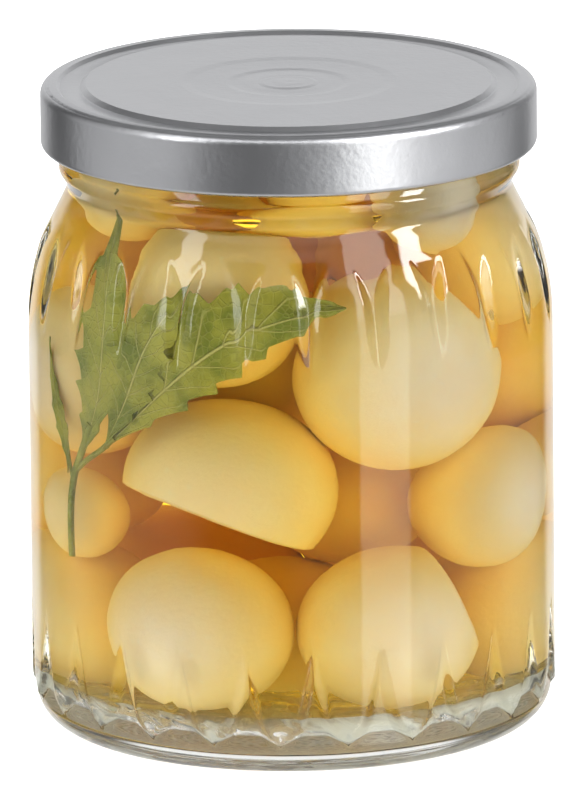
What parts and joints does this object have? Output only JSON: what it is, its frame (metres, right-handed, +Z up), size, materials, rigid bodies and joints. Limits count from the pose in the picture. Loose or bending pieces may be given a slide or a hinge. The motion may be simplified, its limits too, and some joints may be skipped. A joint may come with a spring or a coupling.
{
  "type": "preserving jar",
  "caption": "Fluted glass preserving jar with a twist-off metal lid, filled with scooped fruit balls and a sprig of herb in clear syrup.",
  "frame": {"origin": "on the jar's axis, at the level of the surface it stands on", "axes": "+Z up along the jar's axis; -Y towards the viewer of its front, +X to that viewer's right"},
  "size_m": [0.09, 0.09, 0.1119],
  "materials": {
    "jar_glass": "clear pressed glass, faint green-grey where thick",
    "lid": "satin lacquered tinplate",
    "lid_seal": "soft sealing compound",
    "syrup": "clear amber syrup",
    "fruit": "wet translucent fruit flesh",
    "herb": "soft veined leaf"
  },
  "bodies": {
    "root": {"jar_glass": "jar_glass", "lid": "lid", "lid_seal": "lid_seal", "syrup": "syrup"}
  },
  "joints": []
}
